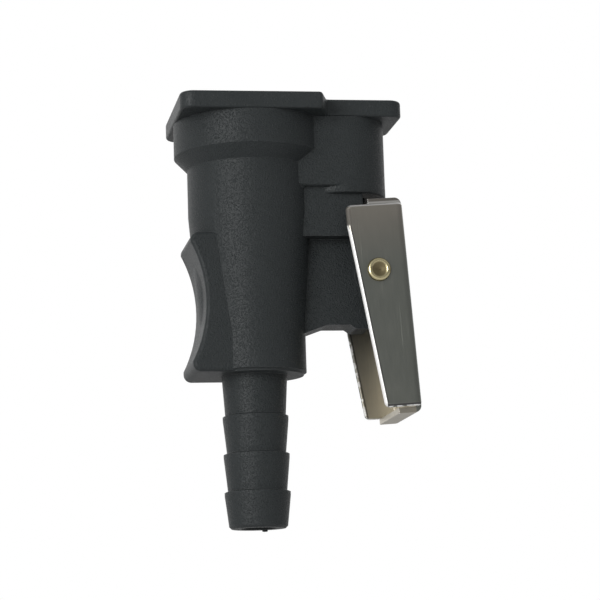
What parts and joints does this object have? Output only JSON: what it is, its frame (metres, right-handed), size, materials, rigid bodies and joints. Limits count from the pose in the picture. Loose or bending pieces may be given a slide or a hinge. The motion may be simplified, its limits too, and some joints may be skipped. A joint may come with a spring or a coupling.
{
  "type": "fuel line quick connector",
  "caption": "Black moulded hose-side fuel connector with a barbed tail, scooped thumb grip, socketed face plate and a pivoting stainless latch lever on a brass rivet.",
  "frame": {"origin": "where the fuel axis meets the mating face, at the middle of the fuel socket's mouth", "axes": "+Z out of the fuel socket along the fuel axis; +X from the fuel axis to the guide bore and the latch lever; the part is symmetric about the XZ plane"},
  "size_m": [0.0419, 0.0272, 0.076],
  "materials": {
    "body_nylon": "moulded black nylon with a fine grain",
    "plate_nylon": "moulded black nylon, slightly smoother than the body",
    "lever_steel": "cold rolled stainless sheet, bright cut edges",
    "pin_brass": "set rivet head, dull in its dish and bright on its rim",
    "spring_steel": "drawn stainless wire",
    "valve_acetal": "natural acetal",
    "seal_rubber": "fuel resistant rubber"
  },
  "bodies": {
    "housing": {"connector_body": "body_nylon", "face_plate": "plate_nylon", "lever_spring": "spring_steel", "valve_spring": "spring_steel", "valve_seat": "valve_acetal", "port_seal": "seal_rubber", "seal_retainer": "valve_acetal"},
    "latch": {"latch_lever": "lever_steel", "lever_pin": "pin_brass"},
    "valve": {"valve_plunger": "valve_acetal", "valve_seal": "seal_rubber"}
  },
  "joints": [
    {"name": "latch_hinge", "type": "hinge", "parent": "housing", "child": "latch", "pos_m": [0.0213, 0, -0.03145], "axis": [0, 1, 0], "range_deg": [0, 9], "stiffness_Nm_per_rad": 0.0225, "springref_deg": -25.78, "deforming": ["lever_spring"]},
    {"name": "valve_slide", "type": "slide", "parent": "housing", "child": "valve", "axis": [0, 0, -1], "range_m": [0, 0.003], "stiffness_N_per_m": 300, "springref_m": -0.004, "deforming": ["valve_spring"]}
  ]
}
